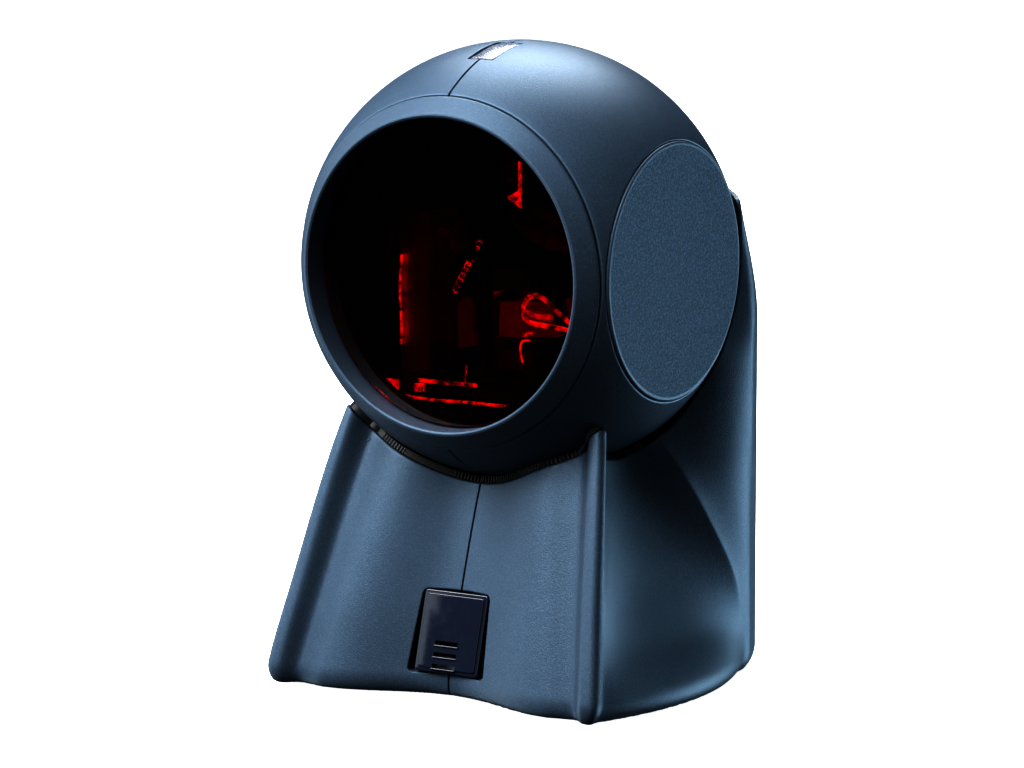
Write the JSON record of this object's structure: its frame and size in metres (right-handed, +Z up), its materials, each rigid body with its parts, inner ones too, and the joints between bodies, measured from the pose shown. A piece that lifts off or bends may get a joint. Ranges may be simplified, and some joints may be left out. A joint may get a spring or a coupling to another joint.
{
  "type": "presentation barcode scanner",
  "caption": "Counter-top laser barcode scanner: a tilting globe head with a round red window, held in a flared, hooded stand.",
  "frame": {"origin": "under the middle of the whole object, on the surface that its feet stand on", "axes": "+Z up, the scan window faces -Y, +X to the object's left as it faces out"},
  "size_m": [0.1022, 0.1038, 0.15],
  "materials": {
    "slate_plastic": "fine-grained satin moulding, slate navy",
    "speckled_plastic": "coarse sandy texture, slate navy",
    "window_red": "polished dark red filter plastic",
    "clear_plastic": "frosted clear plastic",
    "red_filter": "deep red filter",
    "steel": "zinc plated",
    "mirror": "front-surface mirror",
    "aluminium": "matt, as machined",
    "brass": "bright",
    "rubber": "matt",
    "gloss_black": "polished near-black",
    "black_plastic": "plain black moulding",
    "board": "green solder mask"
  },
  "bodies": {
    "stand": {"stand_shell_left": "slate_plastic", "stand_shell_right": "slate_plastic", "bottom_plate": "black_plastic", "rubber_foot_front_left": "rubber", "rubber_foot_rear_left": "rubber", "rubber_foot_front_right": "rubber", "rubber_foot_rear_right": "rubber", "base_screw_front_left": "steel", "base_screw_rear_left": "steel", "base_screw_front_right": "steel", "base_screw_rear_right": "steel", "ballast_plate": "steel", "front_plate": "gloss_black", "speaker": "black_plastic", "cable_socket": "black_plastic", "interface_board": "board", "pivot_arm_left": "aluminium", "pivot_arm_right": "aluminium", "arm_screw_left": "steel", "arm_screw_right": "steel", "friction_washer_left": "brass", "friction_washer_right": "brass", "stand_case_screw_1": "steel", "stand_case_screw_2": "steel", "stand_harness": "black_plastic"},
    "head": {"head_shell_left": "slate_plastic", "head_shell_right": "slate_plastic", "bezel_ring": "slate_plastic", "scan_window": "window_red", "window_gasket": "rubber", "status_window": "clear_plastic", "status_board": "board", "status_lamp": "clear_plastic", "side_disc_left": "speckled_plastic", "side_disc_right": "speckled_plastic", "pivot_pin_left": "steel", "pivot_pin_right": "steel", "head_case_screw_1": "steel", "head_case_screw_2": "steel", "optical_bench": "black_plastic", "bench_screw_left": "steel", "bench_screw_right": "steel", "motor_board": "board", "spin_motor": "steel", "pattern_mirror_1": "mirror", "pattern_mirror_2": "mirror", "pattern_mirror_3": "mirror", "pattern_mirror_4": "mirror", "pattern_mirror_5": "mirror", "collector_mirror": "mirror", "main_board": "board", "detector_board": "board", "detector_filter": "red_filter", "beeper": "black_plastic", "laser_heat_sink": "aluminium", "laser_barrel": "brass", "fold_mirror": "mirror", "head_harness": "black_plastic"},
    "mirror_wheel": {"rotor_shaft": "brass", "polygon_mirror": "mirror"}
  },
  "joints": [
    {"name": "head_tilt", "type": "hinge", "parent": "stand", "child": "head", "pos_m": [0, -0.01107, 0.099], "axis": [1, 0, 0], "range_deg": [-15, 15]},
    {"name": "mirror_spin", "type": "hinge", "parent": "head", "child": "mirror_wheel", "pos_m": [0, -0.00707, 0.086], "axis": [0, 0, 1], "continuous": true}
  ]
}
